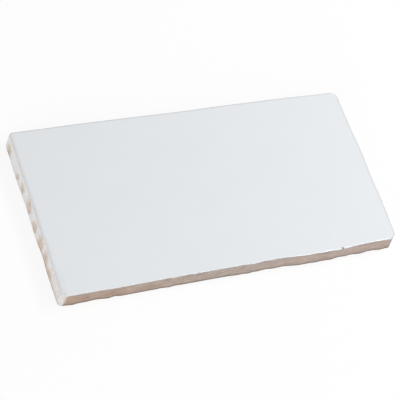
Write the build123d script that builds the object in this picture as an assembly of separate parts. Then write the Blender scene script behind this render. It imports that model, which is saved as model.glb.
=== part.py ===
from build123d import *
import os

# Glazed ceramic wall tile with a hand-made look, lying face up, in millimetres.
# Origin at the centre of the underside, +X along the length, +Y to the back, +Z up.

# Fired size of the tile
length = 150.0
width = 75.0
thickness = 8.5

# Waves of the four pressed sides: how far each stands out past the nominal line,
# at even stations from corner to corner, both corners included
front_waves = (0.20, 0.12, 0.22, 0.12, 0.0, -0.13, -0.10, -0.17,
               -0.07, -0.32, -0.05, 0.38, 0.42, -0.15, -0.43, -0.35)
back_waves = (0.0, 0.08, 0.20, 0.12, -0.02, -0.17, 0.0, 0.0, -0.03, -0.30, -0.50)
left_waves = (0.0, 0.05, 0.10, -0.20, 0.10, 0.0, -0.10, 0.03, 0.20, 0.05, 0.20)
right_waves = (-0.50, -0.40, -0.08, -0.05, -0.10, 0.20, 0.33, 0.13, 0.05, 0.15, 0.20)

# Plan radii of the four corners
front_left_radius = 2.25
front_right_radius = 4.0
back_right_radius = 3.0
back_left_radius = 1.75

# Arrises: the face rolls over at both ends on a large round whose circle runs out
# past the nominal end, while the long sides stay sharper
end_roll_radius = 2.0
end_roll_over = 0.5
side_arris = 0.4
bottom_arris = 0.3

# Glaze coat over the face and down both ends; the long sides are bare clay
glaze_thickness = 0.45
lap_floor_gap = 0.4
lap_corner_extra = 2.0
lap_side_reach = 1.0

# Bare spots that the glaze drips left on the left end:
# centre from the middle of the end, width, height above the underside
bare_spots = (
    (32.2, 3.9, 5.6),
    (19.6, 2.2, 3.8),
    (14.0, 3.0, 5.6),
    (5.3, 4.2, 7.0),
    (-3.2, 4.2, 6.6),
    (-11.2, 4.6, 7.2),
    (-18.3, 4.9, 6.8),
    (-24.6, 5.0, 6.2),
)
bare_spot_reach = 3.0

# Nick in the glaze at the front arris
nick_from_middle = 48.2
nick_radius = 0.9
nick_outside = 0.45
nick_above = 0.45

# Keyed underside: drafted pockets between ribs, inside a flat rim
pocket_columns = 11
pocket_rows = 5
pocket_depth = 0.6
pocket_draft = 30.0
rib_width = 2.0
rim_width = 8.0

# Corners of the wavy outline before they are rounded
front_left = Vector(-length / 2 - left_waves[0], -width / 2 - front_waves[0])
front_right = Vector(length / 2 + right_waves[0], -width / 2 - front_waves[-1])
back_right = Vector(length / 2 + right_waves[-1], width / 2 + back_waves[-1])
back_left = Vector(-length / 2 - left_waves[-1], width / 2 + back_waves[0])
corner_radii = (front_left_radius, front_right_radius, back_right_radius, back_left_radius)


def wavy_side(start, end, waves, outward):
    # One side as a smooth curve through its stations, from corner to corner
    last_station = len(waves) - 1
    points = []
    for station, wave in enumerate(waves):
        share = station / last_station
        on_chord = start + (end - start) * share
        chord_wave = waves[0] + (waves[-1] - waves[0]) * share
        points.append(on_chord + outward * (wave - chord_wave))
    return Spline(*points)


def slab(sides, corners, radii, height):
    # Plain slab on a four-sided plan, its corners rounded and its bottom arris eased
    block = extrude(make_face(sides), height, dir=(0, 0, 1))
    for corner, radius in zip(corners, radii):
        mid_height = Vector(corner.X, corner.Y, height / 2)
        upright = block.edges().filter_by(Axis.Z).sort_by_distance(mid_height)[0]
        block = fillet(upright, radius)
    return fillet(block.faces().sort_by(Axis.Z)[0].edges(), bottom_arris)


def end_rolls(radius):
    # Cutters for both ends: what lies above and outside a cylinder along the end
    cutters = []
    for side, outward in ((-1, Align.MAX), (1, Align.MIN)):
        axis = Pos(side * (length / 2 + end_roll_over - end_roll_radius), 0, thickness - end_roll_radius)
        outside = Box(length, 2 * width, thickness, align=(outward, Align.CENTER, Align.MIN))
        cutters.append(axis * (outside - Rot(90, 0, 0) * Cylinder(radius, 3 * width)))
    return cutters


def tile_form():
    # Outer form of the fired tile, clay and glaze together
    sides = [
        wavy_side(front_left, front_right, front_waves, Vector(0, -1)),
        wavy_side(front_right, back_right, right_waves, Vector(1, 0)),
        wavy_side(back_left, back_right, back_waves, Vector(0, 1)),
        wavy_side(front_left, back_left, left_waves, Vector(-1, 0)),
    ]
    corners = (front_left, front_right, back_right, back_left)
    block = slab(sides, corners, corner_radii, thickness)
    eased = fillet(block.faces().sort_by(Axis.Z)[-1].edges(), side_arris)
    return eased - end_rolls(end_roll_radius)


def clay_limits():
    # What the coat leaves for the clay: its ends and top set in by the glaze,
    # its long sides out past the waves, its corners where the lap runs out
    inward = Vector(glaze_thickness, 0)
    outward = Vector(0, lap_side_reach)
    corners = (
        front_left + inward - outward,
        front_right - inward - outward,
        back_right - inward + outward,
        back_left + inward + outward,
    )
    sides = [
        Line(corners[0], corners[1]),
        wavy_side(corners[1], corners[2], right_waves, Vector(1, 0)),
        Line(corners[2], corners[3]),
        wavy_side(corners[0], corners[3], left_waves, Vector(-1, 0)),
    ]
    radii = [radius + lap_corner_extra for radius in corner_radii]
    block = slab(sides, corners, radii, thickness - glaze_thickness)
    return block - end_rolls(end_roll_radius - glaze_thickness)


def key_pockets():
    # Pockets that share the underside evenly between the rim and the ribs
    pocket_length = (length - 2 * rim_width + rib_width) / pocket_columns - rib_width
    pocket_width = (width - 2 * rim_width + rib_width) / pocket_rows - rib_width
    pocket = extrude(Rectangle(pocket_length, pocket_width), pocket_depth, taper=pocket_draft)
    places = GridLocations(pocket_length + rib_width, pocket_width + rib_width, pocket_columns, pocket_rows)
    return [place * pocket for place in places]


def bare_spot_cutters():
    # Half ellipses standing on the underside, cut through the lap of the left end
    end_plane = Plane(origin=(-length / 2 - bare_spot_reach / 2, 0, 0), x_dir=(0, 1, 0), z_dir=(1, 0, 0))
    return [
        extrude(end_plane * Pos(centre, 0) * Ellipse(spot_width / 2, spot_height), bare_spot_reach)
        for centre, spot_width, spot_height in bare_spots
    ]


def clay_body(form):
    # Fired clay: bare on the long sides, keyed on the underside
    return (form & clay_limits()) - key_pockets()


def glaze_coat(form):
    # Glaze: everything of the outer form above and outside the clay's limits,
    # from the laps' lower edge up
    below_lap = Pos(0, 0, lap_floor_gap) * Box(
        2 * length, 2 * width, 2 * thickness, align=(Align.CENTER, Align.CENTER, Align.MAX))
    coat = form - below_lap - clay_limits()
    nick = Pos(nick_from_middle, -width / 2 - nick_outside, thickness + nick_above) * Sphere(nick_radius)
    return coat - bare_spot_cutters() - nick


os.makedirs("parts", exist_ok=True)
tile = tile_form()
export_step(clay_body(tile), "parts/clay_body.step")
export_step(glaze_coat(tile), "parts/glaze_coat.step")
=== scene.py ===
import math
from types import SimpleNamespace

import bpy
import numpy as np
from mathutils import Matrix, Vector, noise
from mathutils.geometry import delaunay_2d_cdt


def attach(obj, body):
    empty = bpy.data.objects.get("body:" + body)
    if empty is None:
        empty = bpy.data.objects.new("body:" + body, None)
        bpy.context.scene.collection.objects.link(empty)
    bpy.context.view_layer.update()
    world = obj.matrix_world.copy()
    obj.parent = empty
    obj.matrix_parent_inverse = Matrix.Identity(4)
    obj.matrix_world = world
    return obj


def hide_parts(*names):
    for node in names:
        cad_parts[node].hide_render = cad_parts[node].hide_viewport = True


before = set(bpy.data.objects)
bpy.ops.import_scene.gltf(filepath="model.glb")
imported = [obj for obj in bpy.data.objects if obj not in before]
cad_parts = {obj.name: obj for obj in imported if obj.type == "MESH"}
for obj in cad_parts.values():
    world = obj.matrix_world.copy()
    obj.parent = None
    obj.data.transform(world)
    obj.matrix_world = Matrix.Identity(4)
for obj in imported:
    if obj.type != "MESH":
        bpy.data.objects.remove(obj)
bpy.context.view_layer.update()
mm = 0.001
print("frame loaded")


# Camera, where the tile's corners and edges in the photograph put it

cameraFit = {
    "target": (-3.2 * mm, -3.3 * mm, 4.0 * mm),
    "distance": 665.8 * mm,
    "azimuth": -44.1565,
    "elevation": 54.0553,
    "roll": 29.438,
    "lens": 146.65,
    "sensorWidth": 36,
    "shift": (-0.0017, 0.0009),
    "clipStart": 10 * mm,
}


def addObject(name, data):
    added = bpy.data.objects.new(name, data)
    bpy.context.scene.collection.objects.link(added)
    return added


def addCamera(fit):
    azimuth = math.radians(fit["azimuth"])
    elevation = math.radians(fit["elevation"])
    back = Vector((
        math.sin(azimuth) * math.cos(elevation),
        -math.cos(azimuth) * math.cos(elevation),
        math.sin(elevation),
    ))
    camera = addObject("photoCamera", bpy.data.cameras.new("photoCamera"))
    level = back.to_track_quat("Z", "Y").to_matrix()
    rolled = level @ Matrix.Rotation(math.radians(fit["roll"]), 3, "Z")
    place = Matrix.Translation(Vector(fit["target"]) + back * fit["distance"])
    camera.matrix_world = place @ rolled.to_4x4()
    camera.data.sensor_width = fit["sensorWidth"]
    camera.data.lens = fit["lens"]
    camera.data.shift_x, camera.data.shift_y = fit["shift"]
    camera.data.clip_start = fit["clipStart"]
    bpy.context.scene.camera = camera


addCamera(cameraFit)
print("camera placed")


# Node helpers, for shader and geometry trees alike

def addNode(tree, kind, inputs=None, **settings):
    node = tree.nodes.new(kind)
    for name, value in settings.items():
        setattr(node, name, value)
    for key, value in (inputs or {}).items():
        if isinstance(value, bpy.types.NodeSocket):
            tree.links.new(value, node.inputs[key])
        else:
            node.inputs[key].default_value = value
    return node


def calc(tree, operation, first, second=0.0, clamp=False):
    node = addNode(tree, "ShaderNodeMath", {0: first, 1: second}, operation=operation, use_clamp=clamp)
    return node.outputs[0]


def plus(tree, first, *others):
    for other in others:
        first = calc(tree, "ADD", first, other)
    return first


def minus(tree, first, second):
    return calc(tree, "SUBTRACT", first, second)


def times(tree, first, *others):
    for other in others:
        first = calc(tree, "MULTIPLY", first, other)
    return first


def splitVector(tree, vector):
    return addNode(tree, "ShaderNodeSeparateXYZ", {0: vector}).outputs


def remap(tree, value, fromMin, fromMax, toMin=0.0, toMax=1.0, smooth=True):
    node = addNode(tree, "ShaderNodeMapRange", {
        "Value": value, "From Min": fromMin, "From Max": fromMax, "To Min": toMin, "To Max": toMax,
    }, interpolation_type="SMOOTHSTEP" if smooth else "LINEAR")
    return node.outputs["Result"]


def noiseField(tree, vector, size, detail, roughness, seed):
    node = addNode(tree, "ShaderNodeTexNoise", {
        "Vector": vector, "Scale": calc(tree, "DIVIDE", 1.0, size),
        "Detail": detail, "Roughness": roughness, "W": seed,
    }, noise_dimensions="4D")
    return node.outputs[0]


def mixColour(tree, share, first, second):
    node = addNode(tree, "ShaderNodeMix", {0: share, 6: first, 7: second}, data_type="RGBA")
    return node.outputs[2]


# The tile's sizes, in millimetres. Each list of waves gives how far that side stands
# out past its nominal line, at even stations from corner to corner

tile = {
    "length": 150.0,
    "width": 75.0,
    "thickness": 8.5,
    "frontLeftRadius": 2.25,
    "frontRightRadius": 4.0,
    "backRightRadius": 3.0,
    "backLeftRadius": 1.75,
    "glaze": 0.45,
    "waveReach": 0.8,
    "frontWaves": (0.20, 0.12, 0.22, 0.12, 0.0, -0.13, -0.10, -0.17,
                   -0.07, -0.32, -0.05, 0.38, 0.42, -0.15, -0.43, -0.35),
    "backWaves": (0.0, 0.06, 0.15, 0.10, -0.02, -0.17, 0.0, 0.0, -0.03, -0.30, -0.50),
    "leftWaves": (0.0, 0.05, 0.10, -0.20, 0.10, 0.0, -0.10, 0.03, 0.20, 0.05, 0.20),
    "rightWaves": (-0.50, -0.40, -0.08, -0.05, -0.10, 0.20, 0.33, 0.13, 0.05, 0.15, 0.20),
    "nickX": 48.2,
    "nickReach": 2.0,
    "leastSideSteps": 2,
    "leastRoundSteps": 8,
}

# Short humps and dips on the waves of the front side: x, half width, how far out at
# the face and at the foot
frontHumps = (
    (-69.0, 3.5, 0.02, 0.24),
    (-59.0, 5.0, -0.11, -0.34),
    (-51.0, 3.0, 0.00, -0.35),
    (-33.6, 1.8, 0.00, 0.04),
    (-31.2, 2.4, -0.10, -0.04),
    (-29.8, 1.8, 0.00, 0.12),
    (-27.8, 2.2, 0.24, 0.24),
    (-21.5, 3.0, -0.06, 0.12),
    (2.0, 4.0, -0.16, 0.12),
    (7.5, 3.0, 0.16, 0.28),
    (12.0, 3.5, -0.06, 0.22),
    (19.0, 4.0, -0.11, 0.20),
    (24.0, 2.0, 0.00, -0.16),
    (30.5, 4.0, 0.00, 0.10),
    (36.5, 3.0, -0.15, -0.02),
    (38.2, 1.6, 0.00, 0.10),
    (42.0, 3.5, -0.23, -0.10),
    (49.5, 4.0, 0.00, -0.36),
    (60.0, 4.5, 0.00, 0.42),
    (69.5, 3.5, 0.00, 0.30),
)

tiny = 1e-6
farAway = 99.0


def ease(value, low, high):
    share = np.clip((value - low) / (high - low), 0, 1)
    return share * share * (3 - 2 * share)


def between(first, second, share):
    return first + (second - first) * share


def tileRing(sideStep, endStep, nickStep):
    # Points round the straight, unwaved outline with their outward normals, and for
    # each how far it lies into the end zone that begins where a corner's round begins
    right, back = tile["length"] / 2, tile["width"] / 2
    left, front = -right, -back
    frontLeft, frontRight = tile["frontLeftRadius"], tile["frontRightRadius"]
    backLeft, backRight = tile["backLeftRadius"], tile["backRightRadius"]
    points, normals, radii = [], [], []

    def run(start, end, normal, step, radius):
        start, end = np.array(start), np.array(end)
        count = max(tile["leastSideSteps"], round(np.linalg.norm(end - start) / step))
        for share in np.arange(count) / count:
            points.append(between(start, end, share))
            normals.append(normal)
            radii.append(radius)

    def turn(side, sense, radius, startAngle):
        centre = np.array([side * (right - radius), sense * (back - radius)])
        count = max(tile["leastRoundSteps"], round(radius * math.pi / 2 / endStep))
        for share in np.arange(count) / count:
            angle = startAngle + share * math.pi / 2
            normal = (math.cos(angle), math.sin(angle))
            points.append(centre + radius * np.array(normal))
            normals.append(normal)
            radii.append(radius)

    nickFrom, nickTo = tile["nickX"] - tile["nickReach"], tile["nickX"] + tile["nickReach"]
    run((left + frontLeft, front), (nickFrom, front), (0, -1), sideStep, frontLeft)
    run((nickFrom, front), (nickTo, front), (0, -1), nickStep, frontRight)
    run((nickTo, front), (right - frontRight, front), (0, -1), sideStep, frontRight)
    turn(1, -1, frontRight, -math.pi / 2)
    run((right, front + frontRight), (right, back - backRight), (1, 0), endStep, frontRight)
    turn(1, 1, backRight, 0)
    run((right - backRight, back), (left + backLeft, back), (0, 1), sideStep, backRight)
    turn(-1, 1, backLeft, math.pi / 2)
    run((left, back - backLeft), (left, front + frontLeft), (-1, 0), endStep, backLeft)
    turn(-1, -1, frontLeft, math.pi)

    ring = {"point": np.array(points), "normal": np.array(normals, float), "radius": np.array(radii)}
    steps = np.linalg.norm(np.roll(ring["point"], -1, 0) - ring["point"], axis=1)
    along = np.concatenate([[0], np.cumsum(steps)[:-1]])
    onEnd = np.abs(ring["normal"][:, 0]) > tiny
    edges = along[onEnd != np.roll(onEnd, 1)]  # where the rounds begin and end
    gaps = np.abs(along[:, None] - edges[None, :])
    nearest = np.minimum(gaps, steps.sum() - gaps).min(axis=1)
    ring["intoEnd"] = np.where(onEnd, nearest, -nearest)
    ring["endShare"] = np.abs(ring["normal"][:, 0])
    return ring


# Mesh helpers

def meshObject(name, vertices, faces, values=None):
    # vertices in millimetres; values are named numbers for each vertex
    mesh = bpy.data.meshes.new(name)
    mesh.from_pydata((np.asarray(vertices, float) * mm).tolist(), [], faces)
    for key, numbers in (values or {}).items():
        mesh.attributes.new(key, "FLOAT", "POINT").data.foreach_set("value", np.asarray(numbers, np.float32))
    mesh.update()
    return addObject(name, mesh)


def wallFaces(rowCount, count):
    # Four-sided faces between rows of points that each run round the tile
    faces = []
    for row in range(rowCount - 1):
        for k in range(count):
            a, b = row * count + k, row * count + (k + 1) % count
            faces.append((a, b, b + count, a + count))
    return faces


def fillRegion(loops, loose=()):
    # Triangles between closed loops of plan points, with loose points inside;
    # the indices run through the loops in order and then the loose points
    points, edges = [], []
    for loop in loops:
        first = len(points)
        points.extend(loop)
        count = len(loop)
        edges.extend((first + k, first + (k + 1) % count) for k in range(count))
    points.extend(loose)
    flat = [Vector((float(p[0]), float(p[1]))) for p in points]
    keepInside, nearness = 2, 1e-5
    result = delaunay_2d_cdt(flat, edges, [], keepInside, nearness)
    origin = [source[0] for source in result[3]]
    triangles = []
    for face in result[2]:
        a, b, c = (origin[k] for k in face)
        turned = (flat[b] - flat[a]).cross(flat[c] - flat[a])
        triangles.append((a, b, c) if turned > 0 else (a, c, b))
    return triangles


def pointsInside(halfLength, halfWidth, step):
    # Staggered rows of points that fill a rectangle round the origin
    rows = max(2, int(2 * halfWidth / step))
    columns = max(2, int(2 * halfLength / step))
    found = []
    for row in range(rows + 1):
        y = -halfWidth + 2 * halfWidth * row / rows
        stagger = 0.25 if row % 2 else -0.25
        for column in range(columns + 1):
            x = -halfLength + 2 * halfLength * (column + stagger) / columns
            if abs(x) < halfLength:
                found.append((x, y))
    return found


# Geometry node trees

def newTree(name, inputs):
    tree = bpy.data.node_groups.new(name, "GeometryNodeTree")
    tree.interface.new_socket("Geometry", in_out="INPUT", socket_type="NodeSocketGeometry")
    for label, kind in inputs.items():
        tree.interface.new_socket(label, in_out="INPUT", socket_type="NodeSocket" + kind)
    tree.interface.new_socket("Geometry", in_out="OUTPUT", socket_type="NodeSocketGeometry")
    return tree, addNode(tree, "NodeGroupInput").outputs


def endTree(tree, geometry, material):
    realized = addNode(tree, "GeometryNodeRealizeInstances", {"Geometry": geometry}).outputs[0]
    finished = addNode(tree, "GeometryNodeSetMaterial", {"Geometry": realized, "Material": material})
    addNode(tree, "NodeGroupOutput", {0: finished.outputs[0]})


def setInputs(piece, tree, values):
    modifier = piece.modifiers.new(tree.name, "NODES")
    modifier.node_group = tree
    inputs = {}
    for item in tree.interface.items_tree:
        if item.item_type == "SOCKET" and item.in_out == "INPUT":
            inputs[item.name] = item.identifier
    for label, value in values.items():
        modifier[inputs[label]] = value


def bake(piece, name):
    # The evaluated result as a plain mesh in a new object, with no modifier left
    bpy.context.view_layer.update()
    evaluated = piece.evaluated_get(bpy.context.evaluated_depsgraph_get())
    mesh = bpy.data.meshes.new_from_object(evaluated)
    mesh.name = name
    baked = addObject(name, mesh)
    bpy.data.objects.remove(piece)
    for polygon in mesh.polygons:
        polygon.use_smooth = True
    return baked


def waveCurve(tree, waves, share):
    # One side's waves as a curve over that side, in metres outward
    node = addNode(tree, "ShaderNodeFloatCurve", {"Value": share})
    curve = node.mapping.curves[0]
    heights = [0.5 + wave / (2 * tile["waveReach"]) for wave in waves]
    last = len(waves) - 1
    curve.points[0].location = (0, heights[0])
    curve.points[1].location = (1, heights[-1])
    for station in range(1, last):
        curve.points.new(station / last, heights[station])
    node.mapping.update()
    return times(tree, minus(tree, node.outputs[0], 0.5), 2 * tile["waveReach"] * mm)


# Noises and limits of the shape tree. The flare is how far the front right corner
# comes out at its foot, over which share of its round and up to which share of the height
shapeLook = {
    "rippleNoise": {"detail": 2.0, "roughness": 0.5},
    "reliefNoise": {"detail": 3.0, "roughness": 0.55},
    "grainNoise": {"detail": 2.0, "roughness": 0.6},
    "alongSeed": 3.0,
    "acrossSeed": 7.0,
    "swellSeed": 11.0,
    "pitRadius": 0.45,
    "pitsAbove": 0.72,
    "flare": 1.25,
    "flareRun": 0.75,
    "flareTop": 0.9,
}


def tileShapeTree():
    # Bends the straight tile to its waves, swells the face, and roughens or
    # ripples the surface where the attribute relief says so
    tree, given = newTree("tileShape", {
        "Length": "Float", "Width": "Float", "Thickness": "Float",
        "Ripple Height": "Float", "Ripple Size": "Float",
        "Swell Height": "Float", "Swell Size": "Float",
        "Relief Depth": "Float", "Relief Size": "Float",
        "Grain Depth": "Float", "Grain Size": "Float",
        "Pit Depth": "Float", "Pit Size": "Float",
        "Seed": "Float", "Finish": "Material",
    })
    position = addNode(tree, "GeometryNodeInputPosition").outputs[0]
    x, y, z = splitVector(tree, position)
    xShare = calc(tree, "ADD", calc(tree, "DIVIDE", x, given["Length"]), 0.5, clamp=True)
    yShare = calc(tree, "ADD", calc(tree, "DIVIDE", y, given["Width"]), 0.5, clamp=True)
    heightShare = calc(tree, "DIVIDE", z, given["Thickness"], clamp=True)
    front = waveCurve(tree, tile["frontWaves"], xShare)
    for middle, halfWidth, faceOut, footOut in frontHumps:
        away = calc(tree, "ABSOLUTE", minus(tree, x, middle * mm))
        outward = remap(tree, heightShare, 0.0, 1.0, footOut * mm, faceOut * mm, smooth=False)
        front = plus(tree, front, remap(tree, away, 0.0, halfWidth * mm, outward, 0.0))
    back = waveCurve(tree, tile["backWaves"], xShare)
    left = waveCurve(tree, tile["leftWaves"], yShare)
    right = waveCurve(tree, tile["rightWaves"], yShare)
    plan = addNode(tree, "ShaderNodeCombineXYZ", {0: x, 1: y, 2: 0.0}).outputs[0]

    def outward(share, low, high):
        return minus(tree, times(tree, share, high), times(tree, minus(tree, 1.0, share), low))

    def centred(kind, offset):
        # Noise over the plan, between minus and plus the height given for its kind
        seed = plus(tree, given["Seed"], offset)
        field = noiseField(tree, plan, given[kind + " Size"], seed=seed, **shapeLook["rippleNoise"])
        return times(tree, minus(tree, field, 0.5), times(tree, given[kind + " Height"], 2.0))

    shiftX = plus(tree, outward(xShare, left, right), centred("Ripple", shapeLook["alongSeed"]))
    shiftY = plus(tree, outward(yShare, front, back), centred("Ripple", shapeLook["acrossSeed"]))

    # The front right corner flares towards its foot
    radius = tile["frontRightRadius"]
    startX, startY = tile["length"] / 2 - radius, -tile["width"] / 2 + radius
    run, reach = shapeLook["flareRun"] * radius, shapeLook["flare"] * math.sqrt(0.5)
    flareX = remap(tree, x, startX * mm, (startX + run) * mm)
    flareY = remap(tree, y, startY * mm, (startY - run) * mm)
    down = remap(tree, heightShare, 0.0, shapeLook["flareTop"], reach * mm, 0.0, smooth=False)
    flare = times(tree, flareX, flareY, down)
    shiftX = plus(tree, shiftX, flare)
    shiftY = minus(tree, shiftY, flare)

    swell = minus(tree, centred("Swell", shapeLook["swellSeed"]), given["Swell Height"])
    shiftZ = times(tree, swell, heightShare)
    bend = addNode(tree, "ShaderNodeCombineXYZ", {0: shiftX, 1: shiftY, 2: shiftZ}).outputs[0]

    # Relief, grain and pits go inward along the normal
    seed = given["Seed"]
    coarse = noiseField(tree, position, given["Relief Size"], seed=seed, **shapeLook["reliefNoise"])
    fine = noiseField(tree, position, given["Grain Size"], seed=seed, **shapeLook["grainNoise"])
    cells = addNode(tree, "ShaderNodeTexVoronoi", {
        "Vector": position, "Scale": calc(tree, "DIVIDE", 1.0, given["Pit Size"]), "Randomness": 1.0,
    })
    hollow = remap(tree, cells.outputs["Distance"], 0.0, shapeLook["pitRadius"], 1.0, 0.0)
    chance = splitVector(tree, cells.outputs["Color"])[0]
    chosen = calc(tree, "GREATER_THAN", chance, shapeLook["pitsAbove"])
    pits = times(tree, hollow, chosen, given["Pit Depth"])
    coarse = times(tree, coarse, given["Relief Depth"])
    fine = times(tree, fine, given["Grain Depth"])
    weight = addNode(tree, "GeometryNodeInputNamedAttribute", {"Name": "relief"}, data_type="FLOAT")
    inward = times(tree, plus(tree, coarse, fine, pits), weight.outputs[0], -1.0)
    normal = addNode(tree, "GeometryNodeInputNormal").outputs[0]
    relief = addNode(tree, "ShaderNodeVectorMath", {0: normal, "Scale": inward}, operation="SCALE")
    offset = addNode(tree, "ShaderNodeVectorMath", {0: bend, 1: relief.outputs[0]}, operation="ADD")
    moved = addNode(tree, "GeometryNodeSetPosition", {
        "Geometry": given["Geometry"], "Offset": offset.outputs[0],
    })
    endTree(tree, moved.outputs[0], given["Finish"])
    return tree


def keyedBackTree():
    # Sets one pocket cell on every point of a grid and closes the underside with them
    tree, given = newTree("keyedBack", {
        "Cell": "Object", "Columns": "Int", "Rows": "Int",
        "Pitch Along": "Float", "Pitch Across": "Float", "Join Distance": "Float", "Finish": "Material",
    })
    sizeX = times(tree, minus(tree, given["Columns"], 1.0), given["Pitch Along"])
    sizeY = times(tree, minus(tree, given["Rows"], 1.0), given["Pitch Across"])
    grid = addNode(tree, "GeometryNodeMeshGrid", {
        "Size X": sizeX, "Size Y": sizeY, "Vertices X": given["Columns"], "Vertices Y": given["Rows"],
    }).outputs["Mesh"]
    cell = addNode(tree, "GeometryNodeObjectInfo", {"Object": given["Cell"]}).outputs["Geometry"]
    placed = addNode(tree, "GeometryNodeInstanceOnPoints", {"Points": grid, "Instance": cell}).outputs[0]
    cells = addNode(tree, "GeometryNodeRealizeInstances", {"Geometry": placed}).outputs[0]
    joined = addNode(tree, "GeometryNodeJoinGeometry")
    tree.links.new(cells, joined.inputs[0])
    tree.links.new(given["Geometry"], joined.inputs[0])
    merged = addNode(tree, "GeometryNodeMergeByDistance", {
        "Geometry": joined.outputs[0], "Distance": given["Join Distance"],
    })
    endTree(tree, merged.outputs[0], given["Finish"])
    return tree


shapeTree = tileShapeTree()
backTree = keyedBackTree()
print("geometry trees built")

shapeValues = {
    "Length": tile["length"] * mm,
    "Width": tile["width"] * mm,
    "Thickness": tile["thickness"] * mm,
    "Ripple Height": 0.05 * mm,
    "Ripple Size": 3.5 * mm,
    "Swell Height": 0.035 * mm,
    "Swell Size": 22.0 * mm,
    "Seed": 4.0,
}


# Shader node groups that both finishes use

groupLook = {
    "speckRim": (0.15, 0.4),
    "cloudNoise": {"detail": 3.0, "roughness": 0.55},
    "grainNoise": {"detail": 4.0, "roughness": 0.65},
    "noiseRange": (0.3, 0.7),
}


def newGroup(name, inputs, outputs):
    group = bpy.data.node_groups.new(name, "ShaderNodeTree")
    for label, kind in inputs.items():
        group.interface.new_socket(label, in_out="INPUT", socket_type="NodeSocket" + kind)
    for label, kind in outputs.items():
        group.interface.new_socket(label, in_out="OUTPUT", socket_type="NodeSocket" + kind)
    given = addNode(group, "NodeGroupInput").outputs
    place = addNode(group, "ShaderNodeTexCoord").outputs["Object"]
    return group, given, place


def specksGroup():
    # Small round specks, scattered unevenly
    group, given, place = newGroup("specks", {
        "Size": "Float", "Amount": "Float", "Seed": "Float",
    }, {"Mask": "Float"})
    scale = calc(group, "DIVIDE", 1.0, given["Size"])
    cells = addNode(group, "ShaderNodeTexVoronoi", {
        "Vector": place, "W": given["Seed"], "Scale": scale,
    }, voronoi_dimensions="4D")
    chance = splitVector(group, cells.outputs["Color"])[0]
    chosen = calc(group, "LESS_THAN", chance, given["Amount"])
    spot = remap(group, cells.outputs["Distance"], *groupLook["speckRim"], 1.0, 0.0)
    addNode(group, "NodeGroupOutput", {0: times(group, chosen, spot)})
    return group


def mottleGroup():
    # Soft clouds with finer grain inside them, from 0 to 1
    group, given, place = newGroup("mottle", {
        "Cloud Size": "Float", "Grain Size": "Float", "Grain Share": "Float", "Seed": "Float",
    }, {"Clouds": "Float", "Grain": "Float", "Both": "Float"})
    seed, share = given["Seed"], given["Grain Share"]
    clouds = noiseField(group, place, given["Cloud Size"], seed=seed, **groupLook["cloudNoise"])
    grain = noiseField(group, place, given["Grain Size"], seed=seed, **groupLook["grainNoise"])
    clouds, grain = (remap(group, field, *groupLook["noiseRange"]) for field in (clouds, grain))
    both = plus(group, times(group, grain, share), times(group, clouds, minus(group, 1.0, share)))
    addNode(group, "NodeGroupOutput", {0: clouds, 1: grain, 2: both})
    return group


specks = specksGroup()
mottle = mottleGroup()


def useGroup(tree, group, values):
    node = addNode(tree, "ShaderNodeGroup", node_tree=group)
    for label, value in values.items():
        node.inputs[label].default_value = value
    return node.outputs


def newMaterial(name):
    material = bpy.data.materials.new(name)
    material.use_nodes = True
    material.node_tree.nodes.clear()
    return material, material.node_tree


def endMaterial(tree, look, body, roughness, height):
    bump = addNode(tree, "ShaderNodeBump", {**look["bump"], "Height": height})
    surface = addNode(tree, "ShaderNodeBsdfPrincipled", {
        "Base Color": body, "Roughness": roughness, "IOR": look["ior"], "Normal": bump.outputs[0],
    })
    addNode(tree, "ShaderNodeOutputMaterial", {"Surface": surface.outputs[0]})


# The tones of four numbers go from one value to another and give the share of their
# colour at each of the two
clayLook = {
    "leftColour": (0.376, 0.222, 0.140, 1.0),
    "middleColour": (0.442, 0.384, 0.344, 1.0),
    "rightColour": (0.508, 0.402, 0.362, 1.0),
    "yellowTinge": (0.560, 0.440, 0.330, 1.0),
    "pinkTinge": (0.400, 0.285, 0.270, 1.0),
    "paleColour": (0.590, 0.510, 0.440, 1.0),
    "darkColour": (0.270, 0.190, 0.155, 1.0),
    # The foot and top colours below are painted shade, at the foot and under the glaze's lip
    "footShadeColour": (0.215, 0.165, 0.135, 1.0),
    "underLipShadeColour": (0.345, 0.315, 0.300, 1.0),
    "washColour": (0.795, 0.682, 0.592, 1.0),
    "middlePlace": 0.45,
    "patches": {"Cloud Size": 5 * mm, "Grain Size": 0.7 * mm, "Grain Share": 0.55, "Seed": 2.0},
    "paleShare": 0.45,
    "grainShare": 0.22,
    "tinges": {"Cloud Size": 3.6 * mm, "Grain Size": 0.8 * mm, "Grain Share": 0.2, "Seed": 13.0},
    "tingeShare": 0.30,
    "streakNoise": {"size": 1.9 * mm, "detail": 3.0, "roughness": 0.6, "seed": 6.0},
    "streakStretch": (0.4, 0.4, 1.0),
    "streakTone": (0.45, 0.68, 0.0, 0.42),
    "underLipShadeTone": (6.6 * mm, 8.05 * mm, 0.0, 0.40),
    "dots": {"Size": 1.1 * mm, "Amount": 0.18, "Seed": 5.0},
    "dotShare": 0.35,
    "dotHeight": -0.6,
    "washGaps": 0.45,
    "footShadeTone": (0.4 * mm, 2.4 * mm, 0.85, 0.0),
    "washedFoot": 0.3,
    "rightFacingShadeTone": (0.15, 0.8, 0.0, 0.65),
    "roughness": 0.92,
    "ior": 1.45,
    "bump": {"Strength": 0.6, "Distance": 0.05 * mm},
}


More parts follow.
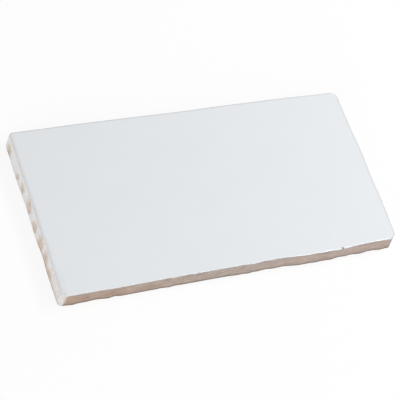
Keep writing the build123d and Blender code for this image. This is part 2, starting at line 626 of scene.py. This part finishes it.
def clayMaterial():
    material, tree = newMaterial("firedClay")
    look = clayLook
    coordinates = addNode(tree, "ShaderNodeTexCoord").outputs
    place, dark = coordinates["Object"], look["darkColour"]
    x, _, z = splitVector(tree, place)
    halfLength = tile["length"] / 2 * mm
    along = addNode(tree, "ShaderNodeValToRGB", {0: remap(tree, x, -halfLength, halfLength, smooth=False)})
    ramp = along.color_ramp
    ramp.elements[0].color = look["leftColour"]
    ramp.elements[1].color = look["rightColour"]
    ramp.elements.new(look["middlePlace"]).color = look["middleColour"]
    body = along.outputs["Color"]

    # Patches, tinges, streaks, grain and dots, and painted shade under the glaze's lip
    patches = useGroup(tree, mottle, look["patches"])
    paler = times(tree, patches["Clouds"], look["paleShare"])
    body = mixColour(tree, paler, body, look["paleColour"])
    tinges = useGroup(tree, mottle, look["tinges"])
    tinge = mixColour(tree, tinges["Both"], look["pinkTinge"], look["yellowTinge"])
    body = mixColour(tree, look["tingeShare"], body, tinge)
    stretched = addNode(tree, "ShaderNodeVectorMath", {
        0: place, 1: look["streakStretch"],
    }, operation="MULTIPLY")
    streaks = noiseField(tree, stretched.outputs[0], **look["streakNoise"])
    body = mixColour(tree, remap(tree, streaks, *look["streakTone"]), body, dark)
    darker = times(tree, minus(tree, 1.0, patches["Grain"]), look["grainShare"])
    body = mixColour(tree, darker, body, dark)
    # Painted shade under the glaze's lip: greyer and darker towards the top of the wall
    body = mixColour(tree, remap(tree, z, *look["underLipShadeTone"]), body, look["underLipShadeColour"])
    dots = useGroup(tree, specks, look["dots"])
    body = mixColour(tree, times(tree, dots["Mask"], look["dotShare"]), body, dark)

    # A thin wash of glaze near the ends; painted shade at the foot and on the clay that faces right
    wash = addNode(tree, "ShaderNodeAttribute", attribute_name="wash").outputs["Fac"]
    thinly = minus(tree, 1.0, times(tree, patches["Both"], look["washGaps"]))
    body = mixColour(tree, times(tree, wash, thinly), body, look["washColour"])
    # Painted shade along the foot, weaker where the glaze washes over it
    foot = remap(tree, z, *look["footShadeTone"])
    foot = times(tree, foot, remap(tree, wash, 0.0, 1.0, 1.0, look["washedFoot"]))
    body = mixColour(tree, foot, body, look["footShadeColour"])
    # Painted shade on the clay that faces right, left out where the glaze washes over it
    turned = remap(tree, splitVector(tree, coordinates["Normal"])[0], *look["rightFacingShadeTone"])
    turned = times(tree, turned, remap(tree, wash, 0.0, 1.0, 1.0, 0.0))
    body = mixColour(tree, turned, body, dark)
    height = plus(tree, patches["Grain"], times(tree, dots["Mask"], look["dotHeight"]))
    endMaterial(tree, look, body,look["roughness"], height)
    return material


glazeLook = {
    "white": (0.795, 0.815, 0.832, 1.0),
    "cloudWhite": (0.775, 0.797, 0.815, 1.0),
    "endWhite": (0.812, 0.802, 0.802, 1.0),
    "thinColour": (0.670, 0.560, 0.465, 1.0),
    # The grey of the glaze's cut edge, also used for painted shade
    "edgeAndShadeGrey": (0.400, 0.365, 0.350, 1.0),
    "patches": {"Cloud Size": 14 * mm, "Grain Size": 1.6 * mm, "Grain Share": 0.3, "Seed": 9.0},
    "cloudShare": 0.5,
    "endRange": (-73.8 * mm, -74.8 * mm),
    "thinShare": 0.85,
    "roughness": (0.08, 0.13),
    "thinRange": (0.2, 0.9),
    "thinRoughness": 0.50,
    "ior": 1.5,
    "bump": {"Strength": 0.25, "Distance": 0.01 * mm},
}


def glazeMaterial():
    material, tree = newMaterial("whiteGlaze")
    look = glazeLook
    patches = useGroup(tree, mottle, look["patches"])
    clouds = times(tree, patches["Clouds"], look["cloudShare"])
    body = mixColour(tree, clouds, look["white"], look["cloudWhite"])
    x = splitVector(tree, addNode(tree, "ShaderNodeTexCoord").outputs["Object"])[0]
    body = mixColour(tree, remap(tree, x, *look["endRange"]), body, look["endWhite"])
    thin = addNode(tree, "ShaderNodeAttribute", attribute_name="thinness").outputs["Fac"]
    body = mixColour(tree, times(tree, thin, look["thinShare"]), body, look["thinColour"])
    # This attribute carries the grey cut edge of the glaze together with painted shade: under its lip, on
    # its rolls and crease, at its corners and along its foot
    cut = addNode(tree, "ShaderNodeAttribute", attribute_name="cutEdgeAndShade").outputs["Fac"]
    body = mixColour(tree, cut, body, look["edgeAndShadeGrey"])
    roughness = remap(tree, patches["Grain"], 0.0, 1.0, *look["roughness"])
    roughness = remap(tree, thin, *look["thinRange"], roughness, look["thinRoughness"])
    endMaterial(tree, look, body,roughness, patches["Grain"])
    return material


firedClay = clayMaterial()
whiteGlaze = glazeMaterial()
print("finishes built")


# The clay body

clay = {
    "sideStep": 0.42,
    "endStep": 0.42,
    "bottomArris": 0.3,
    "topArris": 0.12,
    "arrisBulge": 0.3,
    "top": 8.05,
    "arrisRows": 4,
    "wallRows": 26,
    "sideSetback": 0.04,
    "endSetback": 0.15,
    "lapRange": (-0.5, 0.9),
    "lateWash": 3.2,
    "looseInset": 6,
    "looseStep": 8.0,
    "relief": {
        "Relief Depth": 0.06 * mm, "Relief Size": 3.2 * mm, "Grain Depth": 0.04 * mm,
        "Grain Size": 0.9 * mm, "Pit Depth": 0.14 * mm, "Pit Size": 2.6 * mm,
    },
    "arrisRelief": 0.5,
    "footRelief": 1.3,
    "footHeights": (0.2, 1.5),
    "lapSmoothing": 0.6,
}

keys = {
    "columns": 11,
    "rows": 5,
    "rim": 8.0,
    "rib": 2.0,
    "depth": 0.6,
    "wallRun": 0.35,
    "softening": 0.12,
    "segments": 6,
    "joinDistance": 0.05,
}


def rectangleLoop(halfLength, halfWidth, alongCount, acrossCount):
    # Points round a rectangle, counter-clockwise from its front-left corner
    alongShares = np.arange(alongCount) / alongCount * 2 - 1
    acrossShares = np.arange(acrossCount) / acrossCount * 2 - 1
    loop = [(share * halfLength, -halfWidth) for share in alongShares]
    loop += [(halfLength, share * halfWidth) for share in acrossShares]
    loop += [(-share * halfLength, halfWidth) for share in alongShares]
    loop += [(-halfLength, -share * halfWidth) for share in acrossShares]
    return loop


def pocketCell(pitchAlong, pitchAcross):
    # One pocket of the keyed underside with its share of the ribs round it
    segments, soft, wallRun, depth = (keys[key] for key in ("segments", "softening", "wallRun", "depth"))
    ribEdge = keys["rib"] / 2
    rings = (  # inset from the cell's edge, height
        (0.0, 0.0),
        (ribEdge - soft, 0.0),
        (ribEdge + soft / 2, soft),
        (ribEdge + wallRun - soft / 2, depth - soft),
        (ribEdge + wallRun + soft, depth),
    )
    vertices, faces = [], []
    for inset, height in rings:
        loop = rectangleLoop(pitchAlong / 2 - inset, pitchAcross / 2 - inset, segments, segments)
        vertices += [(x, y, height) for x, y in loop]
    count = 4 * segments
    faces += [tuple(reversed(face)) for face in wallFaces(len(rings), count)]
    centre = len(vertices)
    vertices.append((0.0, 0.0, depth))
    last = (len(rings) - 1) * count
    faces += [(last + (k + 1) % count, last + k, centre) for k in range(count)]
    return meshObject("pocketCell", vertices, faces)


def lapShare(intoEnd):
    return ease(intoEnd, *clay["lapRange"])


def clayProfile():
    # The wall from the underside up: inset past the setback, height, relief
    radius, top, arris = clay["bottomArris"], clay["top"], clay["topArris"]
    profile = []
    for row in range(clay["arrisRows"] + 1):
        angle = math.pi / 2 * row / clay["arrisRows"]
        sine, cosine = math.sin(angle), math.cos(angle)
        profile.append((radius * (1 - sine), radius * (1 - cosine), sine ** 2))
    for row in range(1, clay["wallRows"] + 1):
        profile.append((0.0, between(radius, top - arris, row / clay["wallRows"]), 1.0))
    bulge = arris * clay["arrisBulge"]
    profile.append((bulge, top - bulge, clay["arrisRelief"]))
    profile.append((arris, top, 0.0))
    return profile


def clayBody():
    ring = tileRing(clay["sideStep"], clay["endStep"], clay["sideStep"])
    count = len(ring["point"])
    lap = lapShare(ring["intoEnd"])
    setback = between(clay["sideSetback"], clay["endSetback"], lap)
    late = clay["lateWash"] * (ring["point"][:, 0] > 0) * (ring["point"][:, 1] < 0)
    washed = lapShare(ring["intoEnd"] - late)
    profile = clayProfile()
    vertices, relief, wash = [], [], []
    for inset, height, weight in profile:
        plan = ring["point"] - ring["normal"] * (setback + inset)[:, None]
        vertices += [(x, y, height) for x, y in plan]
        chipped = 1 + clay["footRelief"] * (1 - ease(height, *clay["footHeights"]))
        relief += (weight * chipped * (1 - clay["lapSmoothing"] * lap)).tolist()
        wash += washed.tolist()
    faces = wallFaces(len(profile), count)

    # Top under the glaze
    topLoop = [(v[0], v[1]) for v in vertices[-count:]]
    inset = clay["looseInset"]
    loose = pointsInside(tile["length"] / 2 - inset, tile["width"] / 2 - inset, clay["looseStep"])
    firstTop, firstLoose = len(vertices) - count, len(vertices)
    vertices += [(x, y, clay["top"]) for x, y in loose]
    for triangle in fillRegion([topLoop], loose):
        faces.append([firstTop + k if k < count else firstLoose + k - count for k in triangle])

    # Rim of the underside, round the field of pockets
    inset, segments = keys["rim"] - keys["rib"] / 2, keys["segments"]
    fieldLength, fieldWidth = tile["length"] / 2 - inset, tile["width"] / 2 - inset
    pitchAlong, pitchAcross = 2 * fieldLength / keys["columns"], 2 * fieldWidth / keys["rows"]
    inner = rectangleLoop(fieldLength, fieldWidth, keys["columns"] * segments, keys["rows"] * segments)
    outer = [(v[0], v[1]) for v in vertices[:count]]
    firstInner = len(vertices)
    vertices += [(x, y, 0.0) for x, y in inner]
    for triangle in fillRegion([outer, inner]):
        centre = np.mean([(outer + inner)[k] for k in triangle], axis=0)
        if abs(centre[0]) < fieldLength and abs(centre[1]) < fieldWidth:
            continue
        faces.append([k if k < count else firstInner + k - count for k in reversed(triangle)])

    plain = [0.0] * (len(vertices) - len(wash))
    slab = meshObject("claySlab", vertices, faces, {"relief": relief + plain, "wash": wash + plain})
    cell = pocketCell(pitchAlong, pitchAcross)
    setInputs(slab, backTree, {
        "Cell": cell, "Columns": keys["columns"], "Rows": keys["rows"],
        "Pitch Along": pitchAlong * mm, "Pitch Across": pitchAcross * mm,
        "Join Distance": keys["joinDistance"] * mm, "Finish": firedClay,
    })
    setInputs(slab, shapeTree, {**shapeValues, **clay["relief"], "Finish": firedClay})
    body = bake(slab, "clayBody")
    bpy.data.objects.remove(cell)
    return body


clayPiece = clayBody()
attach(clayPiece, "root")
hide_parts("clay_body")
print("clay body", len(clayPiece.data.polygons), "faces")


# The glaze coat. Its arrises are how far in they run and how far down

coat = {
    "sideStep": 0.5,
    "endStep": 0.27,
    "nickStep": 0.12,
    "low": 0.15,
    "wallRows": 26,
    "lipRows": (0.30, 0.22, 0.15, 0.09, 0.04, 0.0),
    "arrisRows": 8,
    "topRows": (0.14, 0.30, 0.48, 0.68, 0.92),
    "sideArris": (0.35, 0.35),
    "endArris": (1.5, 0.75),
    "sideDepth": 0.10,
    "endDepth": 0.24,
    "innerRun": 0.2,
    "centreGap": 0.1,
    "lapFoot": 0.42,
    "footWander": 0.4,
    "footRound": 0.5,
    "midHeight": 4,
    "cornerRound": 0.8,
    "lipHeight": 7.99,
    "lipWander": (0.4, 0.2),
    "lipRound": 0.14,
    "lipFade": 0.12,
    "faceStep": 1.25,
    "faceInset": (2.8, 1.5),
    "faceClear": 0.45,
    "seatShare": 0.1,
}

# Where the white ends on the long sides: how far past the start of each corner's round
# at mid height, and how much further for each millimetre up
cornerEdge = {
    "frontLeft": (0.60, 0.09),
    "frontRight": (3.60, -0.04),
    "backRight": (0.60, -0.04),
    "backLeft": (0.30, -0.04),
}

# Unevenness of the coat round its wall: size, height, seed and squeeze in height
unevenness = {
    "coarse": (2.6, 0.35, 1.0, 1.0),
    "fine": (0.9, 0.14, 2.0, 1.0),
    "slow": (9.0, 0.10, 3.0, 1.0),
    "drips": (1.5, 0.5, 5.0, 0.4),
    "grainy": (0.8, 0.5, 6.0, 1.0),
}

# How thin the coat looks, and how dark its cut edge and painted shade make it
thinLook = {
    "plain": 0.10, "drips": 0.42, "grainy": 0.22, "backShare": 0.5, "edge": 0.9, "edgeFade": 0.8,
    "edgeGrain": 0.3, "bareFoot": 0.3, "bareFade": 3.2, "farCorner": 0.6,
}
darkLook = {"cutShare": 0.9, "corner": 0.5, "cornerInset": 1.5, "footShare": 0.8, "farCorner": 0.35}

# Its tones: a share, and what limits it, from where the tone begins to where it is full
tones = {
    "wall": (1.0, ("z", 8.3, 7.6), ("intoEnd", 0.0, 1.5)),
    "browner": (0.24, ("y", -18, -27), ("rightward", 0, -tiny)),
    "towardsFront": (0.5, ("y", 26, 10)),
    "bareFoot": (1.0, ("y", -12, -15.5), ("y", -37.4, -34), ("rightward", -0.5, -0.5 - tiny)),
    "side": (1.0, ("intoEnd", 1.5, -0.5)),
    # The grey cut edge on the long sides: partly the glaze's own grey edge, partly painted shade under its
    # lip
    "cutEdgeAndShade": (1.0, ("inset", 0.20, 0.04), ("intoEnd", 1.5, -0.5)),
    # Painted shade on the back arris, where the glaze also thins
    "backRoll": (0.29, ("inset", 0.95, 0.3), ("intoEnd", 1.5, -0.5), ("backward", 0, tiny)),
    # Painted shade on the right roll and its edge
    "rightRollShade": (0.22, ("inset", 1.5, 0.5), ("z", 6.6, 7.6), ("rightward", 0.5, 1.0)),
    "rightEdgeShade": (0.45, ("inset", 0.75, 0.2), ("z", 6.6, 7.6), ("rightward", 0.5, 1.0)),
    # Painted shade in the crease of the left roll
    "leftCreaseShade": (0.10, ("inset", 1.5, 0.9), ("inset", 0.05, 0.3), ("rightward", -0.5, -1.0)),
    # Painted shade at the front of the left end
    "frontEndShade": (0.06, ("y", -24, -29), ("rightward", -0.5, -0.5 - tiny)),
    # Painted shade along the foot
    "foot": (0.45, ("z", 2.0, 0.5)),
    "frontFootShade": (0.28, ("z", 2.0, 0.5), ("y", -9, -17), ("rightward", 0, -tiny)),
    # Painted shade at the front right corner
    "farCorner": (1.0, ("intoEnd", -0.5, 1.0), ("intoEnd", 5.5, 4.0), ("inset", 1.0, 0.3)),
}

# Bare spots between the drips on the left end: centre, width, foot, height, slant,
# and how much of the spot is quite bare
bareSpots = (
    (32.4, 4.4, -1.0, 5.6, 0.10, 0.60),
    (20.2, 2.4, 1.4, 4.6, 0.00, 0.45),
    (14.3, 3.4, 1.4, 6.0, -0.10, 0.60),
    (5.3, 5.0, 0.9, 7.4, 0.05, 0.72),
    (-3.4, 4.6, -0.8, 6.8, 0.00, 0.62),
    (-11.0, 5.2, -1.2, 7.6, 0.15, 0.74),
    (-17.8, 5.6, -2.0, 6.8, 0.05, 0.70),
    (-23.8, 6.4, -2.8, 5.2, -0.10, 0.68),
)

# Rims and stains of the bare spots; the rims and fades are wider higher up
spotLook = {
    "facing": -0.9,
    "slantHeight": 2,
    "riseFrom": 0.2,
    "riseTo": 0.9,
    "rim": (0.8, 0.9),
    "stainWander": 1.3,
    "stain": 0.72,
    "stainFade": (1.1, 1.4),
    "uneven": 0.45,
    "stainEnd": (3.5, 1.5),
}

nick = {
    "x": 48.35,
    "lean": 0.45,
    "halfWidth": 0.46,
    "reach": 0.50,
    "foot": 7.6,
    "taper": 1.2,
    "wander": 0.5,
    "rim": 0.06,
    "stain": (0.45, 0.15),
}


def wander(points, size, height, seed):
    # Smooth random values for rows of points, between minus and plus height
    found = [noise.noise(Vector((p[0] / size, p[1] / size, seed))) for p in points]
    return np.array(found) * 2 * height


def roundedProfile(share):
    share = np.clip(share, 0, 1)
    return np.sqrt(1 - (1 - share) ** 2)


def awayFromSpot(aside, rise, halfWidth, halfHeight):
    # How far a point lies outside an oval spot, below zero inside it
    radius = np.sqrt((aside / halfWidth) ** 2 + (rise / halfHeight) ** 2) + tiny
    steep = np.sqrt((aside / halfWidth ** 2) ** 2 + (rise / halfHeight ** 2) ** 2) + tiny
    return radius * (radius - 1) / steep


def insideLoop(points, loop, margin):
    # Those points that lie inside a closed loop and stand clear of it
    loop = np.asarray(loop)
    after = np.roll(loop, -1, 0)
    kept = []
    for point in points:
        x, y = point
        crosses = (loop[:, 1] > y) != (after[:, 1] > y)
        rise = np.where(crosses, after[:, 1] - loop[:, 1], 1.0)
        meets = loop[:, 0] + (y - loop[:, 1]) * (after[:, 0] - loop[:, 0]) / rise
        inside = np.count_nonzero(crosses & (meets > x)) % 2
        if inside and np.hypot(loop[:, 0] - x, loop[:, 1] - y).min() > margin:
            kept.append(point)
    return kept


def coatSheets():
    # Outer and inner surface of the coat before it is cut to its edges, as points for
    # each row and column
    ring = tileRing(coat["sideStep"], coat["endStep"], coat["nickStep"])
    roll = ease(ring["endShare"], 0.0, 1.0)
    run, drop = (between(coat["sideArris"][k], coat["endArris"][k], roll) for k in (0, 1))
    depth = between(coat["sideDepth"], coat["endDepth"], lapShare(ring["intoEnd"]))
    top, under = tile["thickness"], tile["thickness"] - tile["glaze"]
    innerRun = run - depth + coat["innerRun"]
    innerDrop = np.maximum(0.0, drop - tile["glaze"])
    arcLength = ring["radius"] * math.pi / 2
    room = ring["radius"] - coat["centreGap"] - run + np.maximum(0, ring["intoEnd"] - arcLength)
    wallTop = top - drop
    lipFoot = wallTop - coat["lipRows"][0]
    heights = [between(coat["low"], lipFoot, row / coat["wallRows"]) for row in range(coat["wallRows"])]
    heights += [wallTop - offset for offset in coat["lipRows"]]
    # Each row: outer inset, outer height, inner inset, inner height
    rows = [(0 * run, height, depth, np.minimum(height, under)) for height in heights]
    for row in range(1, coat["arrisRows"] + 1):
        angle = math.pi / 2 * row / coat["arrisRows"]
        inwards, below = 1 - math.cos(angle), 1 - math.sin(angle)
        innerInset, innerHeight = depth + innerRun * inwards, under - innerDrop * below
        rows.append((run * inwards, top - drop * below, innerInset, innerHeight))
    for number, extra in enumerate(coat["topRows"], 1):
        share = number / len(coat["topRows"])
        inset = run + np.minimum(extra, room * share)
        rows.append((inset, top + 0 * run, inset + coat["innerRun"] * (1 - share), under + 0 * run))
    outer, inner = [], []
    for outerInset, outerHeight, innerInset, innerHeight in rows:
        for sheet, inset, height in ((outer, outerInset, outerHeight), (inner, innerInset, innerHeight)):
            plan = ring["point"] - ring["normal"] * inset[:, None]
            sheet.append(np.column_stack([plan, height + 0 * run]))
    return ring, np.array(outer), np.array(inner)


def wallPlaces(ring, outer):
    # What the coat's edges and tones go by, for each point of the outer sheet
    x, y, z = outer[..., 0], outer[..., 1], outer[..., 2]
    around = np.cumsum(np.linalg.norm(np.roll(ring["point"], -1, 0) - ring["point"], axis=1))
    wall = np.column_stack([np.broadcast_to(around, x.shape).ravel(), z.ravel()])
    fields = {}
    for name, (size, height, seed, squeeze) in unevenness.items():
        fields[name] = wander(wall * (1, squeeze), size, height, seed).reshape(x.shape)
    return SimpleNamespace(
        x=x, y=y, z=z, **fields,
        intoEnd=ring["intoEnd"],
        inset=((ring["point"] - outer[..., :2]) * ring["normal"]).sum(axis=-1),
        rightward=ring["normal"][:, 0],
        backward=ring["normal"][:, 1],
        onLeft=ring["point"][:, 0] < 0,
        onFront=ring["point"][:, 1] < 0,
    )


def cornerValue(at, k):
    # A number of cornerEdge, for the corner that is nearest to each column
    front = np.where(at.onLeft, cornerEdge["frontLeft"][k], cornerEdge["frontRight"][k])
    back = np.where(at.onLeft, cornerEdge["backLeft"][k], cornerEdge["backRight"][k])
    return np.where(at.onFront, front, back)


def tone(at, name):
    share, *limits = tones[name]
    for field, start, full in limits:
        share = share * ease(getattr(at, field), start, full)
    return share


def wallThinness(at, foot, corner):
    # How thin the coat looks on the ends, apart from the bare spots
    look, bare = thinLook, tone(at, "bareFoot")
    plain = look["plain"] + tone(at, "browner") + look["drips"] * at.drips + look["grainy"] * at.grainy
    plain = plain * tone(at, "wall") * (look["backShare"] + tone(at, "towardsFront"))
    atFoot = look["edge"] + look["bareFoot"] * bare + look["edgeGrain"] * at.grainy
    atFoot = atFoot - foot / (look["edgeFade"] + look["bareFade"] * bare)
    atCorner = look["edge"] - corner / look["edgeFade"]
    return np.maximum(np.maximum(plain, atFoot), atCorner)


def openSpots(at, cover, thick, thin):
    # Takes the bare spots out of the cover, rounds their rims and stains the thin
    # glaze round them
    look = spotLook
    across = np.where(at.rightward < look["facing"], at.y, farAway)
    for centre, width, low, high, slant, opening in bareSpots:
        aside = across - centre - slant * (at.z - look["slantHeight"])
        rise = at.z - (low + high) / 2
        halfWidth, halfHeight = width / 2, (high - low) / 2
        higher = ease(at.z, look["riseFrom"] * high, look["riseTo"] * high)
        away = awayFromSpot(aside, rise, halfWidth * opening, halfHeight * opening) + at.coarse + at.fine
        cover = np.minimum(cover, away)
        thick = np.minimum(thick, roundedProfile(away / (look["rim"][0] + look["rim"][1] * higher)))
        away = awayFromSpot(aside, rise, halfWidth, halfHeight) + at.coarse * look["stainWander"]
        fade = look["stainFade"][0] + look["stainFade"][1] * higher
        stain = look["stain"] - away / fade + look["uneven"] * (at.grainy + at.drips)
        thin = np.maximum(thin, stain * ease(away, *look["stainEnd"]))
    return cover, thick, thin


def darkness(at):
    # How dark the coat looks: its grey cut edge with painted shade under it, and painted shade on its rolls
    # and crease, at its corners and at its foot
    dark = np.maximum(tone(at, "cutEdgeAndShade"), tone(at, "backRoll")) * (darkLook["cutShare"] + at.fine)
    rightRollShade = tone(at, "rightRollShade") + tone(at, "rightEdgeShade")
    # Painted shade at the back left corner
    corner = darkLook["corner"] * np.maximum(0, -at.rightward) * np.maximum(0, -at.backward)
    corner = corner * (at.inset < darkLook["cornerInset"])
    # Painted shade along the foot
    foot = (tone(at, "foot") + tone(at, "frontFootShade")) * (darkLook["footShare"] + at.grainy)
    foot = foot * (1 - tone(at, "side"))
    for other in (rightRollShade, tone(at, "leftCreaseShade"), corner, tone(at, "frontEndShade"), foot):
        dark = np.maximum(dark, other)
    return dark


def awayFromNick(at):
    # How far a point lies outside the nick in the front arris, below zero inside it
    aside = np.abs(at.x - nick["x"] - nick["lean"] * (tile["thickness"] - at.z))
    inwards = np.maximum(0, at.y + tile["width"] / 2 - nick["reach"]) + np.maximum(0, nick["foot"] - at.z)
    away = np.hypot(aside, inwards * nick["taper"]) - nick["halfWidth"]
    return np.where(at.y < 0, away, farAway) + at.fine * nick["wander"]


def coverOf(ring, outer):
    # How far each point of the outer sheet lies inside the glaze, how thick the glaze
    # stands there as a share of its full thickness, how thin it looks, and how dark its cut
    # edge and its painted shade make it
    at = wallPlaces(ring, outer)
    foot = at.z - coat["lapFoot"] - at.coarse * coat["footWander"]
    leaning = (at.z - coat["midHeight"]) * cornerValue(at, 1)
    corner = at.intoEnd - cornerValue(at, 0) + at.coarse + at.fine - leaning
    cover = np.minimum(foot, corner)
    thick = roundedProfile(np.minimum(foot / coat["footRound"], corner / coat["cornerRound"]))
    cover, thick, thin = openSpots(at, cover, thick, wallThinness(at, foot, corner))

    # The lip over the arris of the long sides
    slowly, finely = coat["lipWander"]
    lip = at.z - coat["lipHeight"] - at.slow * slowly - at.fine * finely
    cover = np.maximum(cover, lip)
    thick = np.maximum(thick, roundedProfile(lip / coat["lipRound"]))
    thin = np.minimum(thin, 1 - lip / coat["lipFade"])

    # Painted shade at the front right corner, through both the thin tone and the dark tone
    farCorner = tone(at, "farCorner") * (~at.onLeft & at.onFront)
    thin = np.maximum(thin, thinLook["farCorner"] * farCorner)
    dark = np.maximum(darkness(at), darkLook["farCorner"] * farCorner)

    away = awayFromNick(at)
    cover = np.minimum(cover, away)
    thick = np.minimum(thick, roundedProfile(away / nick["rim"]))
    thin = np.maximum(thin, ease(away, *nick["stain"]))
    return cover, thick, np.clip(thin, 0, 1), np.clip(dark, 0, 1)


def coveredFaces(cover, rowCount, count):
    # The sheet's faces where glaze covers it, cut through where the glaze ends, and the
    # pair of points that each new point lies between
    faces, cuts = [], {}

    def cutPoint(a, b):
        return cuts.setdefault((min(a, b), max(a, b)), rowCount * count + len(cuts))

    for corners in wallFaces(rowCount, count):
        covered = [cover[c] > 0 for c in corners]
        if all(covered):
            faces.append(corners)
        elif any(covered):
            for triangle in (corners[:3], (corners[0], corners[2], corners[3])):
                piece = []
                for first, second in zip(triangle, triangle[1:] + triangle[:1]):
                    if cover[first] > 0:
                        piece.append(first)
                    if (cover[first] > 0) != (cover[second] > 0):
                        piece.append(cutPoint(first, second))
                if len(piece) > 2:
                    faces.append(tuple(piece))
    return faces, np.array(list(cuts))


def glazeCoat():
    ring, outer, inner = coatSheets()
    rowCount, count = outer.shape[:2]
    cover, thick, thin, dark = (grid.ravel() for grid in coverOf(ring, outer))
    outer, inner = outer.reshape(-1, 3), inner.reshape(-1, 3)
    faces, ends = coveredFaces(cover, rowCount, count)
    low, high = ends[:, 0], ends[:, 1]
    share = (cover[low] / (cover[low] - cover[high]))[:, None]
    outer, inner = (np.vstack([grid, between(grid[low], grid[high], share)]) for grid in (outer, inner))
    thick = np.concatenate([thick, np.zeros(len(ends))])
    thin, dark = (np.concatenate([grid, np.maximum(grid[low], grid[high])]) for grid in (thin, dark))

    # The face inside the last row
    first = (rowCount - 1) * count
    loop = outer[first:first + count, :2]
    insetX, insetY = coat["faceInset"]
    loose = pointsInside(tile["length"] / 2 - insetX, tile["width"] / 2 - insetY, coat["faceStep"])
    loose = insideLoop(loose, loop, coat["faceStep"] * coat["faceClear"])
    firstLoose = len(outer)
    faceTop = np.array([(x, y, tile["thickness"]) for x, y in loose])
    outer = np.vstack([outer, faceTop])
    inner = np.vstack([inner, faceTop - (0, 0, tile["glaze"])])
    thick = np.concatenate([thick, np.ones(len(loose))])
    thin, dark = (np.concatenate([grid, np.zeros(len(loose))]) for grid in (thin, dark))
    for triangle in fillRegion([loop.tolist()], loose):
        faces.append(tuple(first + k if k < count else firstLoose + k - count for k in triangle))

    # Both surfaces with their rims between them
    seated = between(inner, outer, between(coat["seatShare"], 1, thick)[:, None])
    used = sorted({k for face in faces for k in face})
    number = {old: new for new, old in enumerate(used)}
    faces = [tuple(number[k] for k in face) for face in faces]
    half = len(used)
    edges = {(a, b) for face in faces for a, b in zip(face, face[1:] + face[:1])}
    rims = [(b, a, a + half, b + half) for a, b in edges if (b, a) not in edges]
    under = [tuple(k + half for k in reversed(face)) for face in faces]
    vertices = np.vstack([seated[used], inner[used]])
    values = {"thinness": np.tile(thin[used], 2), "cutEdgeAndShade": np.tile(dark[used], 2)}
    sheet = meshObject("coatSheet", vertices, faces + under + sorted(rims), values)
    setInputs(sheet, shapeTree, {**shapeValues, "Finish": whiteGlaze})
    return bake(sheet, "glazeCoat")


glazePiece = glazeCoat()
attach(glazePiece, "root")
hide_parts("glaze_coat")
print("glaze coat", len(glazePiece.data.polygons), "faces")


# Floor, light and world

studio = {
    "floorHalf": 2.0,
    "floorDrop": 0.03,
    "floorColour": (0.92, 0.92, 0.92, 1.0),
    "floorGlow": 0.87,
    "white": (1.0, 1.0, 1.0, 1.0),
    "worldColour": (0.97, 0.985, 1.0, 1.0),
    "worldStrength": 0.54,
    "dimDirection": (-0.62, 0.42, 0.66),
    "dimRange": (0.70, 0.97),
    "dimShare": 0.75,
}

lamps = {
    "sideBox": {"place": (0.38, 0.03, 0.50), "size": 0.18, "power": 1.62},
    "frontBox": {"place": (0.33, -0.39, 0.62), "size": 0.20, "power": 0.92},
    "lowFill": {"place": (-0.56, -0.46, 0.22), "size": 0.60, "power": 2.8},
}


def addFloor():
    half, z = studio["floorHalf"] / mm, -studio["floorDrop"]
    corners = [(-half, -half, z), (half, -half, z), (half, half, z), (-half, half, z)]
    floor = meshObject("floor", corners, [(0, 1, 2, 3)])
    material, tree = newMaterial("paleFloor")
    cloth = addNode(tree, "ShaderNodeBsdfDiffuse", {"Color": studio["floorColour"]}).outputs[0]
    glow = addNode(tree, "ShaderNodeEmission", {"Color": studio["white"], "Strength": 1.0}).outputs[0]
    rays = addNode(tree, "ShaderNodeLightPath").outputs
    mirrored = calc(tree, "MAXIMUM", rays["Is Glossy Ray"], rays["Is Transmission Ray"])
    seen = calc(tree, "MAXIMUM", rays["Is Camera Ray"], mirrored)
    share = times(tree, seen, studio["floorGlow"])
    mixed = addNode(tree, "ShaderNodeMixShader", {0: share, 1: cloth, 2: glow}).outputs[0]
    addNode(tree, "ShaderNodeOutputMaterial", {"Surface": mixed})
    floor.data.materials.append(material)


def addWorld():
    world = bpy.data.worlds.new("studioAir")
    world.use_nodes = True
    tree = world.node_tree
    tree.nodes.clear()
    direction = addNode(tree, "ShaderNodeTexCoord").outputs["Generated"]
    dim = Vector(studio["dimDirection"]).normalized()
    towards = addNode(tree, "ShaderNodeVectorMath", {0: direction, 1: dim}, operation="DOT_PRODUCT")
    dimmed = remap(tree, towards.outputs["Value"], *studio["dimRange"], 1.0, 1.0 - studio["dimShare"])
    strength = times(tree, dimmed, studio["worldStrength"])
    air = addNode(tree, "ShaderNodeBackground", {"Color": studio["worldColour"], "Strength": strength})
    seen = addNode(tree, "ShaderNodeBackground", {"Color": studio["white"], "Strength": 1.0})
    camera = addNode(tree, "ShaderNodeLightPath").outputs["Is Camera Ray"]
    mixed = addNode(tree, "ShaderNodeMixShader", {0: camera, 1: air.outputs[0], 2: seen.outputs[0]})
    addNode(tree, "ShaderNodeOutputWorld", {"Surface": mixed.outputs[0]})
    bpy.context.scene.world = world


def addLamp(name, given):
    lamp = bpy.data.lights.new(name, "AREA")
    lamp.shape = "SQUARE"
    lamp.size = given["size"]
    lamp.energy = given["power"]
    holder = addObject(name, lamp)
    holder.location = given["place"]
    holder.rotation_euler = (-Vector(given["place"])).to_track_quat("-Z", "Y").to_euler()


addFloor()
addWorld()
for name, given in lamps.items():
    addLamp(name, given)
bpy.context.scene.view_settings.view_transform = "Standard"
print("studio lit")
